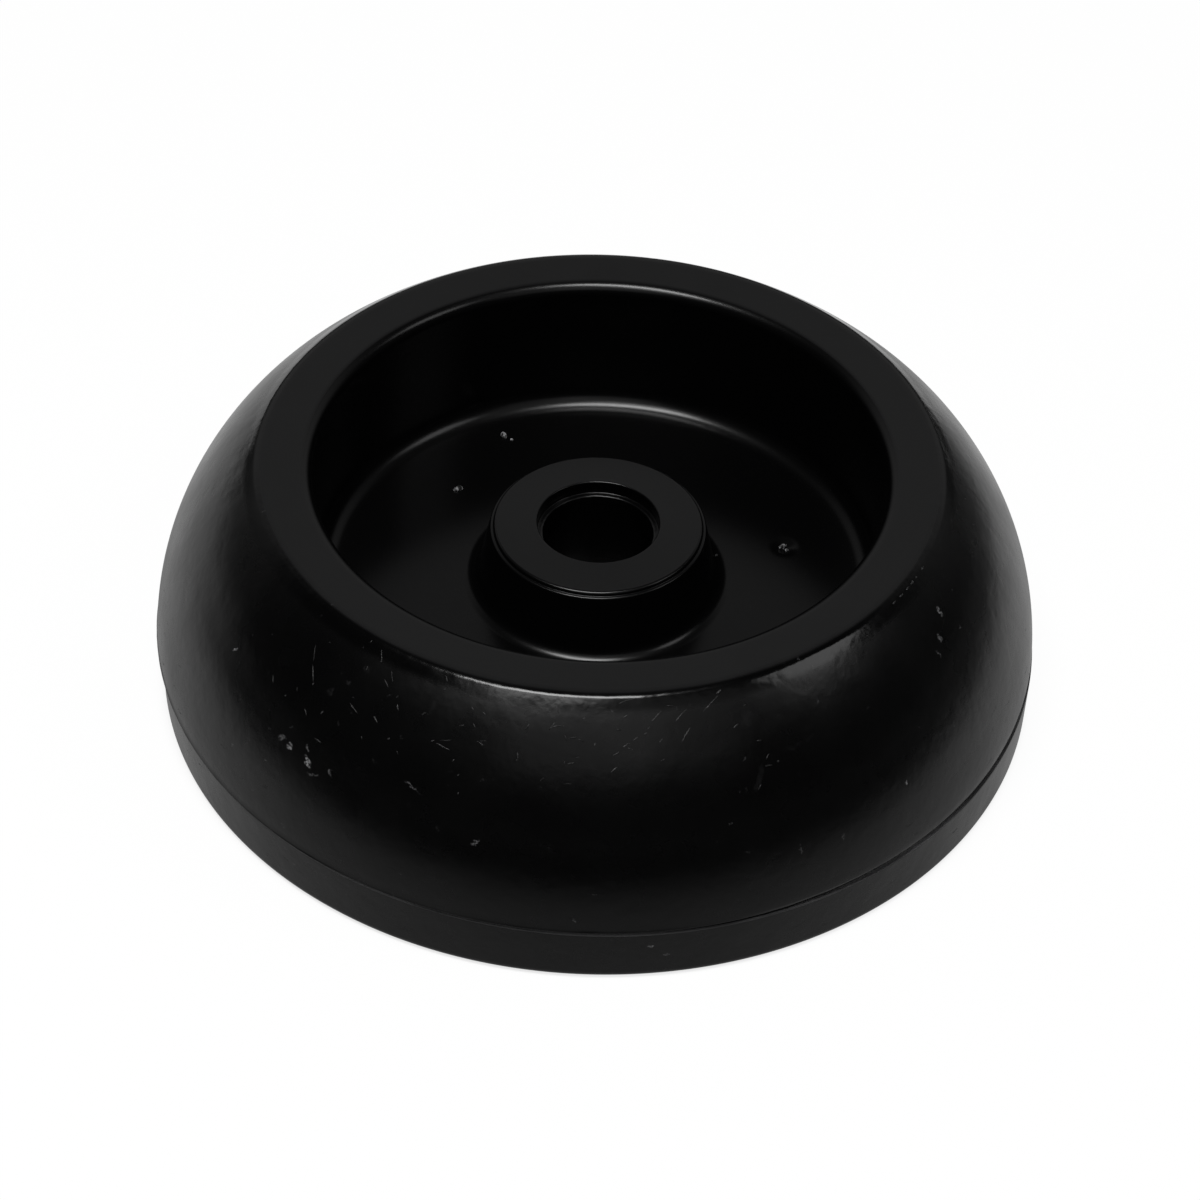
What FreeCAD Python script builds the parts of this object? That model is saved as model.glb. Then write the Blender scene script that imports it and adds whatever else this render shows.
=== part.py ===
import FreeCAD, Part
import math
import os
import Sketcher

# Deck wheel for a lawn mower, moulded in one piece of plastic and modelled lying on its lower face.
# The axle runs along Z. The origin is on the axle line, on the plane that the lower face rests on.

NODE = "wheel"
SHEET = "Sizes"

# Driving dimensions in millimetres and degrees: name, value, meaning.
SIZES = (
    ("tread_diameter", 127.0, "tread across the end of the crown, at the mould line"),
    ("overall_width", 38.1, "from the lower face to the top of the rim"),
    ("mould_line_height", 9.2, "height of the mould line above the lower face"),
    ("crown_radius", 38.0, "radius of the rounded tread above the mould line"),
    ("flash_height", 0.25, "how far the flash ridge stands out of the tread"),
    ("flash_width", 0.5, "how far the ridge runs up the crown"),
    ("mould_step", 0.12, "how far the band below the mould line is set in"),
    ("band_draft", 1.0, "draft of the band below the mould line, in degrees"),
    ("lower_edge_bevel", 0.8, "bevel where the band meets the lower face"),
    ("rim_diameter", 96.2, "sharp corner of crown and rim top"),
    ("rim_width", 7.7, "rim top, from its outer corner to the mouth of the cup"),
    ("rim_radius", 2.0, "rounding of the rim's outer corner"),
    ("cup_mouth_bevel", 1.2, "bevel round the cup's mouth"),
    ("cup_draft", 0.5, "draft of the cup's wall, in degrees"),
    ("cup_floor_radius", 3.0, "fillet between the cup's wall and the web"),
    ("web_thickness", 7.8, "plate between the cup and the lower recess"),
    ("recess_depth", 8.0, "depth of the lower recess below the web"),
    ("recess_diameter", 84.0, "mouth of the lower recess"),
    ("recess_draft", 2.0, "draft of the lower recess, in degrees"),
    ("hub_length", 25.4, "from end face to end face of the hub"),
    ("hub_setback", 1.0, "how far the hub's lower end stays above the lower face"),
    ("hub_diameter", 30.9, "hub at its upper shoulder"),
    ("hub_draft", 6.5, "taper of the hub inside the cup, in degrees"),
    ("hub_foot_bevel", 1.5, "bevel between the hub and the web"),
    ("hub_lower_diameter", 31.0, "hub at its lower end"),
    ("lip_height", 0.6, "raised lip on the hub's upper end"),
    ("lip_step", 0.45, "how far the lip is set in from the shoulder"),
    ("lip_bevel", 0.4, "bevel on the lip's corner"),
    ("bore_diameter", 15.875, "running bore for the axle bolt"),
    ("counterbore_step", 0.8, "how much wider the bore's mouth is, on each side"),
    ("counterbore_depth", 2.0, "depth of the wider mouth"),
)

# Radii and heights that follow from the driving dimensions, as expressions on the sheet.
TREAD_R = "Sizes.tread_diameter / 2"
RIM_R = "Sizes.rim_diameter / 2"
RIM_TOP = "Sizes.overall_width"
MOULD_LINE = "Sizes.mould_line_height"
BAND_TOP_R = f"({TREAD_R} - Sizes.mould_step)"
BAND_FOOT_R = f"({BAND_TOP_R} - {MOULD_LINE} * tan(Sizes.band_draft))"
FLASH_R = f"({TREAD_R} + Sizes.flash_height)"
CROWN_FOOT = f"({MOULD_LINE} + Sizes.flash_width)"
WEB_TOP = "(Sizes.recess_depth + Sizes.web_thickness)"
CUP_MOUTH_R = f"({RIM_R} - Sizes.rim_width)"
CUP_FLOOR_R = f"({CUP_MOUTH_R} - ({RIM_TOP} - {WEB_TOP}) * tan(Sizes.cup_draft))"
HUB_BOTTOM = "Sizes.hub_setback"
HUB_TOP = f"({HUB_BOTTOM} + Sizes.hub_length)"
SHOULDER_TOP = f"({HUB_TOP} - Sizes.lip_height)"
SHOULDER_R = "Sizes.hub_diameter / 2"
LIP_R = f"({SHOULDER_R} - Sizes.lip_step)"
HUB_FOOT_R = f"({SHOULDER_R} + ({SHOULDER_TOP} - {WEB_TOP}) * tan(Sizes.hub_draft))"
RECESS_TOP = "Sizes.recess_depth"
RECESS_MOUTH_R = "Sizes.recess_diameter / 2"
RECESS_FLOOR_R = f"({RECESS_MOUTH_R} - {RECESS_TOP} * tan(Sizes.recess_draft))"
HUB_LOWER_R = "Sizes.hub_lower_diameter / 2"
HUB_LOWER_FOOT_R = f"({HUB_LOWER_R} + ({RECESS_TOP} - {HUB_BOTTOM}) * tan(Sizes.recess_draft))"
AXIS = "0"
FLOOR = "0"

# How close a ring's radius and height come to the expected values when an edge is looked up.
MATCH = 1e-4


def make_sheet(doc):
    """Fill the sheet of driving dimensions: name, value and meaning on each row."""
    sheet = doc.addObject("Spreadsheet::Sheet", SHEET)
    for row, (name, value, meaning) in enumerate(SIZES, start=1):
        sheet.set(f"A{row}", name)
        sheet.set(f"B{row}", str(value))
        sheet.set(f"C{row}", meaning)
        sheet.setAlias(f"B{row}", name)
    doc.recompute()
    return sheet


def number(body, expression):
    """Work out an expression on the sheet."""
    return float(body.evalExpression(expression))


def origin_plane(body, role):
    """Find one of the body's own origin planes."""
    return next(plane for plane in body.Origin.OriginFeatures if plane.Role == role)


def new_sketch(body, name, role):
    """Start a sketch on one of the body's origin planes."""
    sketch = body.newObject("Sketcher::SketchObject", name)
    sketch.AttachmentSupport = [(origin_plane(body, role), "")]
    sketch.MapMode = "FlatFace"
    return sketch


def pin_corner(sketch, edge, direction, expression, label, value):
    """Hold the start of an edge at a distance from the axle line or from the lower face."""
    on_axis = {"DistanceX": -2, "DistanceY": -1}
    if expression in (AXIS, FLOOR):
        sketch.addConstraint(Sketcher.Constraint("PointOnObject", edge, 1, on_axis[direction]))
        return
    index = sketch.addConstraint(Sketcher.Constraint(direction, -1, 1, edge, 1, value))
    sketch.renameConstraint(index, label)
    sketch.setExpression(f"Constraints.{label}", expression)


def arc_between(start, end, radius):
    """Arc from start to end that bulges away from the axle, for a profile drawn upwards."""
    middle = (start + end) / 2
    along = (end - start).normalize()
    outward = FreeCAD.Vector(along.y, -along.x, 0)
    half_chord = start.distanceToPoint(end) / 2
    sagitta = radius - math.sqrt(radius ** 2 - half_chord ** 2)
    return Part.Arc(start, middle + outward * sagitta, end)


def draw_profile(body, name, corners, arcs=()):
    """Draw a closed half section with X away from the axle and Y up.

    corners is a list of (label, radius expression, height expression), in order.
    arcs gives the radius expression of each edge that is round, by the label of its first corner.
    """
    sketch = new_sketch(body, name, "XZ_Plane")
    arcs = dict(arcs)
    labels = [label for label, _, _ in corners]
    points = [FreeCAD.Vector(number(body, radius), number(body, height), 0) for _, radius, height in corners]
    ends = points[1:] + points[:1]
    for label, start, end in zip(labels, points, ends):
        if label in arcs:
            sketch.addGeometry(arc_between(start, end, number(body, arcs[label])), False)
        else:
            sketch.addGeometry(Part.LineSegment(start, end), False)
    for edge, (label, radius, height) in enumerate(corners):
        following = (edge + 1) % len(corners)
        sketch.addConstraint(Sketcher.Constraint("Coincident", edge, 2, following, 1))
        pin_corner(sketch, edge, "DistanceX", radius, f"{label}_r", points[edge].x)
        pin_corner(sketch, edge, "DistanceY", height, f"{label}_z", points[edge].y)
    for label, radius in arcs.items():
        round_edge = labels.index(label)
        named = sketch.addConstraint(Sketcher.Constraint("Radius", round_edge, number(body, radius)))
        sketch.renameConstraint(named, f"{label}_radius")
        sketch.setExpression(f"Constraints.{label}_radius", radius)
    return sketch


def spin(body, name, feature, sketch):
    """Turn a half section a full turn about the axle, as a solid or as a cut."""
    made = body.newObject(f"PartDesign::{feature}", name)
    made.Profile = sketch
    made.ReferenceAxis = (sketch, ["V_Axis"])
    made.Angle = 360.0
    body.Document.recompute()
    return made


def ring_edge(body, radius, height):
    """Name the round edge of the body's last feature at a radius and height given as expressions."""
    wanted_r = number(body, radius)
    wanted_z = number(body, height)
    for index, edge in enumerate(body.Tip.Shape.Edges, start=1):
        if not isinstance(edge.Curve, Part.Circle):
            continue
        if abs(edge.Curve.Radius - wanted_r) < MATCH and abs(edge.Curve.Center.z - wanted_z) < MATCH:
            return f"Edge{index}"
    raise ValueError(f"no round edge at radius {wanted_r} and height {wanted_z}")


def finish_ring(body, name, feature, amount, size, radius, height):
    """Round or bevel the ring edge at a radius and height by a size from the sheet."""
    base = body.Tip
    edge = ring_edge(body, radius, height)
    made = body.newObject(f"PartDesign::{feature}", name)
    made.Base = (base, [edge])
    made.setExpression(amount, f"Sizes.{size}")
    body.Document.recompute()


def round_ring(body, name, size, radius, height):
    """Fillet one ring edge."""
    finish_ring(body, name, "Fillet", "Radius", size, radius, height)


def bevel_ring(body, name, size, radius, height):
    """Chamfer one ring edge."""
    finish_ring(body, name, "Chamfer", "Size", size, radius, height)


def make_blank(body):
    """Outer form: band below the mould line, flash ridge, rounded crown and flat rim top."""
    corners = [
        ("centre_low", AXIS, FLOOR),
        ("band_foot", BAND_FOOT_R, FLOOR),
        ("band_top", BAND_TOP_R, MOULD_LINE),
        ("flash_tip", FLASH_R, MOULD_LINE),
        ("crown_foot", TREAD_R, CROWN_FOOT),
        ("rim_corner", RIM_R, RIM_TOP),
        ("centre_high", AXIS, RIM_TOP),
    ]
    sketch = draw_profile(body, "tread_section", corners, {"crown_foot": "Sizes.crown_radius"})
    spin(body, "tread_blank", "Revolution", sketch)


def cut_cup(body):
    """Upper cup: drafted wall, flat web and the tapered hub with its lip left standing."""
    corners = [
        ("top_centre", AXIS, RIM_TOP),
        ("lip_centre", AXIS, HUB_TOP),
        ("lip_corner", LIP_R, HUB_TOP),
        ("lip_root", LIP_R, SHOULDER_TOP),
        ("shoulder", SHOULDER_R, SHOULDER_TOP),
        ("hub_foot", HUB_FOOT_R, WEB_TOP),
        ("wall_foot", CUP_FLOOR_R, WEB_TOP),
        ("mouth", CUP_MOUTH_R, RIM_TOP),
    ]
    spin(body, "cup", "Groove", draw_profile(body, "cup_section", corners))


def cut_recess(body):
    """Lower recess round the hub, with the hub's end set back from the lower face."""
    corners = [
        ("low_centre", AXIS, FLOOR),
        ("low_mouth", RECESS_MOUTH_R, FLOOR),
        ("low_wall", RECESS_FLOOR_R, RECESS_TOP),
        ("low_hub_foot", HUB_LOWER_FOOT_R, RECESS_TOP),
        ("low_hub_corner", HUB_LOWER_R, HUB_BOTTOM),
        ("low_hub_centre", AXIS, HUB_BOTTOM),
    ]
    spin(body, "lower_recess", "Groove", draw_profile(body, "recess_section", corners))


def drill_bore(body):
    """Axle bore down the hub, with a short wider mouth at the cup's end."""
    sketch = new_sketch(body, "bore_circle", "XY_Plane")
    sketch.setExpression("AttachmentOffset.Base.z", HUB_TOP)
    radius = number(body, "Sizes.bore_diameter / 2")
    circle = sketch.addGeometry(Part.Circle(FreeCAD.Vector(), FreeCAD.Vector(0, 0, 1), radius), False)
    sketch.addConstraint(Sketcher.Constraint("Coincident", circle, 3, -1, 1))
    named = sketch.addConstraint(Sketcher.Constraint("Diameter", circle, 2 * radius))
    sketch.renameConstraint(named, "bore")
    sketch.setExpression("Constraints.bore", "Sizes.bore_diameter")
    body.Document.recompute()
    hole = body.newObject("PartDesign::Hole", "axle_bore")
    hole.Profile = sketch
    hole.ThreadType = "None"
    hole.DepthType = "ThroughAll"
    hole.HoleCutType = "Counterbore"
    hole.HoleCutCustomValues = True
    hole.setExpression("Diameter", "Sizes.bore_diameter")
    hole.setExpression("HoleCutDiameter", "Sizes.bore_diameter + 2 * Sizes.counterbore_step")
    hole.setExpression("HoleCutDepth", "Sizes.counterbore_depth")
    body.Document.recompute()


def soften_edges(body):
    """Fillets and bevels of the moulding, from the rim down to the lower face."""
    round_ring(body, "rim_rounding", "rim_radius", RIM_R, RIM_TOP)
    bevel_ring(body, "cup_mouth", "cup_mouth_bevel", CUP_MOUTH_R, RIM_TOP)
    round_ring(body, "cup_floor_fillet", "cup_floor_radius", CUP_FLOOR_R, WEB_TOP)
    bevel_ring(body, "hub_foot_slope", "hub_foot_bevel", HUB_FOOT_R, WEB_TOP)
    bevel_ring(body, "hub_lip", "lip_bevel", LIP_R, HUB_TOP)
    bevel_ring(body, "lower_edge", "lower_edge_bevel", BAND_FOOT_R, FLOOR)


def check(doc, body):
    """Stop if any feature failed or the solid is not one sound piece."""
    for item in doc.Objects:
        if {"Invalid", "Error"} & set(item.State):
            raise RuntimeError(f"{item.Label} failed: {item.State}")
    shape = body.Shape
    if shape.isNull() or not shape.isValid() or len(shape.Solids) != 1:
        raise RuntimeError("the wheel is not one valid solid")


def main():
    """Build the wheel and write its solid."""
    doc = FreeCAD.newDocument("mower_deck_wheel")
    make_sheet(doc)
    body = doc.addObject("PartDesign::Body", NODE)
    body.Label = NODE
    make_blank(body)
    blank_volume = body.Shape.Volume
    cut_cup(body)
    cup_volume = body.Shape.Volume
    cut_recess(body)
    recess_volume = body.Shape.Volume
    drill_bore(body)
    if not blank_volume > cup_volume > recess_volume > body.Shape.Volume:
        raise RuntimeError("a cut took nothing away")
    soften_edges(body)
    check(doc, body)
    os.makedirs("parts", exist_ok=True)
    body.Shape.exportStep(f"parts/{NODE}.step")
    box = body.Shape.optimalBoundingBox()
    print(f"volume {body.Shape.Volume:.0f} mm3")
    print(f"box {box.XLength:.2f} x {box.YLength:.2f} x {box.ZLength:.2f} mm")


main()
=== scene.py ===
import logging
import math
from dataclasses import dataclass
from enum import Enum
from typing import Any, Mapping, Sequence, Union

import bpy
from mathutils import Matrix, Vector


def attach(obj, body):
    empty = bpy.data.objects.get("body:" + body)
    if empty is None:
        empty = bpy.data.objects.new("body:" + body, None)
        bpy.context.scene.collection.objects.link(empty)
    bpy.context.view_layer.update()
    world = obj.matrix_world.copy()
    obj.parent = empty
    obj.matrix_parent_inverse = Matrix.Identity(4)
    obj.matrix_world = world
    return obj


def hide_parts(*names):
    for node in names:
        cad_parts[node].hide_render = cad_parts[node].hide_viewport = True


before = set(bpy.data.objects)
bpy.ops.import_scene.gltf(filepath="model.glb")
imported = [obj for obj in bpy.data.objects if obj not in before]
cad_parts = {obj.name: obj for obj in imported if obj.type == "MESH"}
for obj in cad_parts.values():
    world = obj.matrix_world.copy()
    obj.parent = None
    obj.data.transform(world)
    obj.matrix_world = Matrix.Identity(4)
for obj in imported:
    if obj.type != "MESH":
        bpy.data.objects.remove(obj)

LOG = logging.getLogger("mower_wheel")
MM = 0.001
BODY = "root"
NODE = "wheel"

Number = Union[int, float]
Point = tuple[float, float]
Span = tuple[float, float]
Triple = tuple[float, float, float]
Colour = tuple[float, float, float]


def in_metres(span: Span, start: float = 0.0) -> Span:
    """Turn a span in millimetres, counted from a start, into metres."""
    return (start + span[0]) * MM, (start + span[1]) * MM


class LongSide(Enum):
    """Direction in which a lamp's long side runs."""

    ACROSS = (1.0, 0.0, 0.0)
    AWAY = (0.0, 1.0, 0.0)


class Wire:
    """A socket of a node tree that takes part in Python arithmetic."""

    def __init__(self, graph: "Graph", socket: bpy.types.NodeSocket) -> None:
        """Keep the tree and the output socket."""
        self.graph = graph
        self.socket = socket

    def math(self, operation: str, *others: Any) -> "Wire":
        """Add a Math node with this value first.

        Args:
            operation: the Math node's operation.
            others: the values or wires of its other sockets.

        Returns:
            The node's output.
        """
        values = dict(enumerate((self, *others)))
        return self.graph.node("ShaderNodeMath", {"operation": operation}, values)

    def reflected(self, operation: str, first: Number) -> "Wire":
        """Add a Math node with a plain number first and this value second."""
        return self.graph.node("ShaderNodeMath", {"operation": operation}, {0: first, 1: self})

    def __add__(self, other: Any) -> "Wire":
        """Sum."""
        return self.math("ADD", other)

    def __radd__(self, other: Number) -> "Wire":
        """Sum with a number first."""
        return self.math("ADD", other)

    def __sub__(self, other: Any) -> "Wire":
        """Difference."""
        return self.math("SUBTRACT", other)

    def __rsub__(self, other: Number) -> "Wire":
        """Difference with a number first."""
        return self.reflected("SUBTRACT", other)

    def __mul__(self, other: Any) -> "Wire":
        """Product."""
        return self.math("MULTIPLY", other)

    def __rmul__(self, other: Number) -> "Wire":
        """Product with a number first."""
        return self.math("MULTIPLY", other)

    def __truediv__(self, other: Any) -> "Wire":
        """Quotient."""
        return self.math("DIVIDE", other)

    def __rtruediv__(self, other: Number) -> "Wire":
        """Quotient with a number first."""
        return self.reflected("DIVIDE", other)

    def __pow__(self, other: Any) -> "Wire":
        """Power."""
        return self.math("POWER", other)

    def hypot(self, other: "Wire") -> "Wire":
        """Length of the flat vector that has this value and another as its sides."""
        return (self * self + other * other) ** 0.5

    def rise(self, low: Number, high: Number) -> "Wire":
        """Go smoothly from 0 to 1.

        Args:
            low: value at which the result is 0.
            high: value at which it is 1.

        Returns:
            The smooth step.
        """
        settings = {"interpolation_type": "SMOOTHSTEP"}
        values = {"Value": self, "From Min": low, "From Max": high}
        return self.graph.node("ShaderNodeMapRange", settings, values)

    def fall(self, low: Number, high: Number, level: Number = 1.0) -> "Wire":
        """Go smoothly from a level to 0.

        Args:
            low: value at which the result is at its level.
            high: value at which it is 0.
            level: the level to start from.

        Returns:
            The smooth step.
        """
        settings = {"interpolation_type": "SMOOTHSTEP"}
        values = {"Value": self, "From Min": low, "From Max": high, "To Min": level, "To Max": 0.0}
        return self.graph.node("ShaderNodeMapRange", settings, values)

    def within(self, low: Number, high: Number, soft: Number) -> "Wire":
        """Be 1 between two values and fall smoothly to 0 over a soft edge outside them."""
        return self.rise(low - soft, low) * self.fall(high, high + soft)


class Graph:
    """A node tree with one method that adds any node."""

    def __init__(self, tree: bpy.types.NodeTree) -> None:
        """Keep the tree."""
        self.tree = tree

    def node(
        self, kind: str, settings: Mapping[str, Any], values: Mapping[Any, Any], output: Any = 0,
    ) -> Wire:
        """Add a node, set it up and fill its sockets.

        Args:
            kind: the node's type.
            settings: its properties, which are set first.
            values: numbers, colours or wires by the name or index of the input.
            output: the name or index of the output to return.

        Returns:
            The chosen output.
        """
        made = self.tree.nodes.new(kind)
        for name, value in settings.items():
            setattr(made, name, value)
        for key, value in values.items():
            if isinstance(value, Wire):
                self.tree.links.new(value.socket, made.inputs[key])
            else:
                made.inputs[key].default_value = value
        return Wire(self, made.outputs[output])

    def vector(self, operation: str, *values: Any, output: Any = 0) -> Wire:
        """Add a Vector Math node."""
        return self.node("ShaderNodeVectorMath", {"operation": operation}, dict(enumerate(values)), output)

    def scaled(self, vector: Any, factor: Any) -> Wire:
        """Make a vector longer or shorter."""
        return self.node("ShaderNodeVectorMath", {"operation": "SCALE"}, {0: vector, "Scale": factor})

    def mixed(self, share: Any, first: Any, second: Any) -> Wire:
        """Go from one colour to another."""
        return self.node("ShaderNodeMix", {"data_type": "RGBA"}, {0: share, 6: first, 7: second}, 2)

    def split(self, vector: Wire) -> tuple[Wire, Wire, Wire]:
        """Take a vector apart into X, Y and Z."""
        first = self.node("ShaderNodeSeparateXYZ", {}, {0: vector})
        return tuple(Wire(self, socket) for socket in first.socket.node.outputs)

    def join(self, x: Any, y: Any, z: Any) -> Wire:
        """Put a vector together from X, Y and Z."""
        return self.node("ShaderNodeCombineXYZ", {}, {0: x, 1: y, 2: z})

    def finish(self, shader: Wire) -> None:
        """Send a shader to the material's output."""
        out = self.tree.nodes.new("ShaderNodeOutputMaterial")
        self.tree.links.new(shader.socket, out.inputs["Surface"])


@dataclass(frozen=True)
class Noise:
    """A noise field: how many lumps it has to the metre, its layers and how rough they are."""

    scale: float
    detail: float = 2.0
    rough: float = 0.5

    def sockets(self, place: Wire) -> dict[str, Any]:
        """Inputs of the noise node."""
        return {"Vector": place, "Scale": self.scale, "Detail": self.detail, "Roughness": self.rough}

    def level(self, graph: Graph, place: Wire) -> Wire:
        """Add the field as a value from 0 to 1."""
        return graph.node("ShaderNodeTexNoise", {}, self.sockets(place), "Fac")

    def wander(self, graph: Graph, place: Wire) -> Wire:
        """Add the field as a vector about zero."""
        colour = graph.node("ShaderNodeTexNoise", {}, self.sockets(place), "Color")
        return graph.vector("SUBTRACT", colour, (0.5, 0.5, 0.5))


def blank_material(name: str) -> tuple[bpy.types.Material, Graph]:
    """Make an empty node material.

    Args:
        name: the material's name.

    Returns:
        The material and the graph to fill it with.
    """
    material = bpy.data.materials.new(name)
    material.use_nodes = True
    material.node_tree.nodes.clear()
    return material, Graph(material.node_tree)


@dataclass(frozen=True)
class Corner:
    """One corner of the moulding's section, in millimetres from the axle and above the lower face.

    A rounding has a number of steps, and a run of chords leads on to the next corner.
    """

    r: float
    z: float
    rounding: float = 0.0
    steps: int = 6
    run: int = 3

    @property
    def at(self) -> Vector:
        """The sharp corner as a flat vector."""
        return Vector((self.r, self.z))


@dataclass(frozen=True)
class Section:
    """Half section of the moulding in millimetres, with every rounding that the moulding tool leaves.

    The steps at the mould line and at the ledge are offsets outward and upward: those of the band's shoulder
    from the top of the band, those of the flash from the tread, those of the ledge from the bore.
    """

    bore_r: float = 7.9375
    bore_joint: Span = (12.0, 13.6)
    bore_rounding: float = 0.3
    hub_low: float = 1.0
    hub_low_r: float = 15.5
    hub_low_rounding: float = 0.5
    hub_low_foot_r: float = 15.744
    recess_top: float = 8.0
    recess_roof_r: float = 41.72
    recess_rounding: float = 2.0
    recess_r: float = 42.0
    recess_edge_rounding: float = 0.8
    band_foot_r: float = 63.22
    band_foot_rounding: float = 1.3
    band_top_r: float = 63.38
    band_shoulder: float = 0.6
    mould_line: float = 8.95
    seam_tip: float = 0.24
    band_shoulder_steps: tuple[Point, ...] = (
        (-0.01, -0.4), (-0.05, -0.25), (-0.13, -0.13), (-0.25, -0.05), (-0.6, 0.0), (-0.62, 0.2),
    )
    flash_steps: tuple[Point, ...] = ((-0.1, 0.22), (0.08, 0.25), (0.11, 0.31), (0.08, 0.42), (0.03, 0.58))
    tread_r: float = 63.5
    crown_foot: float = 9.75
    crown_radius: float = 38.0
    crown_steps: int = 38
    rim_r: float = 48.1
    rim_top: float = 38.1
    rim_rounding: float = 2.0
    rim_rounding_steps: int = 10
    rim_inset: float = 1.0
    rim_dish: float = 0.3
    cup_r: float = 40.4
    cup_mouth_rounding: float = 1.8
    cup_floor_r: float = 40.3
    cup_floor_rounding: float = 3.0
    web_top: float = 16.0
    gate_rings: Span = (25.6, 31.6)
    hub_foot_r: float = 17.5
    hub_foot_rounding: float = 2.0
    shoulder_r: float = 15.45
    shoulder_top: float = 25.5
    shoulder_rounding: float = 0.3
    lip_r: float = 15.0
    lip_root_rounding: float = 0.08
    lip_top: float = 26.05
    lip_rounding: float = 0.42
    hub_top: float = 26.4
    bore_mouth_r: float = 8.7375
    bore_mouth_rounding: float = 0.22
    ledge_z: float = 24.4
    ledge_rounding: float = 0.12
    ledge_steps: tuple[Point, ...] = ((0.3, 0.03), (0.05, 0.02), (-0.05, -0.12))
    ledge_height: float = 0.45
    guard: float = 0.12

    def lower_corners(self) -> list[Corner]:
        """List the corners of the underside.

        Returns:
            The corners in order, from the bore out to the band.
        """
        return [
            Corner(self.bore_r, self.bore_joint[0], run=4),
            Corner(self.bore_r, self.hub_low, self.bore_rounding, steps=3, run=2),
            Corner(self.hub_low_r, self.hub_low, self.hub_low_rounding, steps=4, run=3),
            Corner(self.hub_low_foot_r, self.recess_top, self.recess_rounding, steps=6, run=5),
            Corner(self.recess_roof_r, self.recess_top, self.recess_rounding, steps=6, run=3),
            Corner(self.recess_r, 0.0, self.recess_edge_rounding, steps=5, run=5),
            Corner(self.band_foot_r, 0.0, self.band_foot_rounding, steps=9, run=8),
            Corner(self.band_top_r, self.mould_line - self.band_shoulder),
        ]

    def mould_line_points(self) -> list[Point]:
        """Fine step at the mould line: shoulder of the band, open seam and the flash above it."""
        starts = ((self.band_top_r, self.band_shoulder_steps), (self.tread_r, self.flash_steps))
        return [(r + out, self.mould_line + up) for r, steps in starts for out, up in steps]

    def crown_ends(self) -> tuple[Vector, Vector]:
        """The crown's foot at the mould line and its sharp corner with the rim's top."""
        return Vector((self.tread_r, self.crown_foot)), Vector((self.rim_r, self.rim_top))

    def crown_centre(self) -> Vector:
        """Find the middle of the crown's arc from its ends and its radius.

        Returns:
            The middle, as a flat vector.
        """
        foot, corner = self.crown_ends()
        along = (corner - foot).normalized()
        inward = Vector((-along.y, along.x))
        half = (corner - foot).length / 2
        depth = math.sqrt(self.crown_radius ** 2 - half ** 2)
        return (foot + corner) / 2 + inward * depth

    def crown_points(self) -> list[Point]:
        """Draw the tread's arc and its rounding into the rim's top.

        Returns:
            The points in order, from the mould line up.
        """
        foot, _ = self.crown_ends()
        centre = self.crown_centre()
        small = self.rim_rounding
        rise = self.rim_top - small - centre.y
        reach = math.sqrt((self.crown_radius - small) ** 2 - rise ** 2)
        spot = Vector((centre.x + reach, self.rim_top - small))
        first = math.atan2(foot.y - centre.y, foot.x - centre.x)
        last = math.atan2(spot.y - centre.y, spot.x - centre.x)
        points = self.arc_points(centre, self.crown_radius, first, last, self.crown_steps)
        return points + self.arc_points(spot, small, last, math.pi / 2, self.rim_rounding_steps)[1:]

    def upper_corners(self) -> list[Corner]:
        """List the corners of the cup and the hub.

        Returns:
            The corners in order, from the rim's top in to the bore.
        """
        ledge = [Corner(self.bore_r + out, self.ledge_z + up, run=0) for out, up in self.ledge_steps]
        return [
            Corner(self.rim_r - self.rim_inset, self.rim_top, run=5),
            Corner(self.cup_r, self.rim_top - self.rim_dish, self.cup_mouth_rounding, steps=12, run=9),
            Corner(self.cup_floor_r, self.web_top, self.cup_floor_rounding, steps=14, run=0),
            Corner(self.gate_rings[1], self.web_top, run=16),
            Corner(self.gate_rings[0], self.web_top, run=5),
            Corner(self.hub_foot_r, self.web_top, self.hub_foot_rounding, steps=10, run=6),
            Corner(self.shoulder_r, self.shoulder_top, self.shoulder_rounding, steps=4, run=0),
            Corner(self.lip_r, self.shoulder_top, self.lip_root_rounding, steps=2, run=0),
            Corner(self.lip_r, self.lip_top, self.lip_rounding, steps=6, run=5),
            Corner(self.bore_mouth_r, self.hub_top, self.bore_mouth_rounding, steps=4, run=3),
            Corner(self.bore_mouth_r, self.ledge_z, self.ledge_rounding, steps=2, run=0),
            *ledge,
            Corner(self.bore_r, self.ledge_z - self.ledge_height, run=5),
            Corner(self.bore_r, self.bore_joint[1], run=0),
        ]

    @staticmethod
    def arc_points(centre: Vector, radius: float, first: float, last: float, steps: int) -> list[Point]:
        """Points along an arc, both ends included.

        Args:
            centre: middle of the arc.
            radius: its radius.
            first: angle of its first point.
            last: angle of its last point.
            steps: number of chords.

        Returns:
            The points in order.
        """
        angles = [first + (last - first) * step / steps for step in range(steps + 1)]
        return [(centre.x + radius * math.cos(a), centre.y + radius * math.sin(a)) for a in angles]

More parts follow.
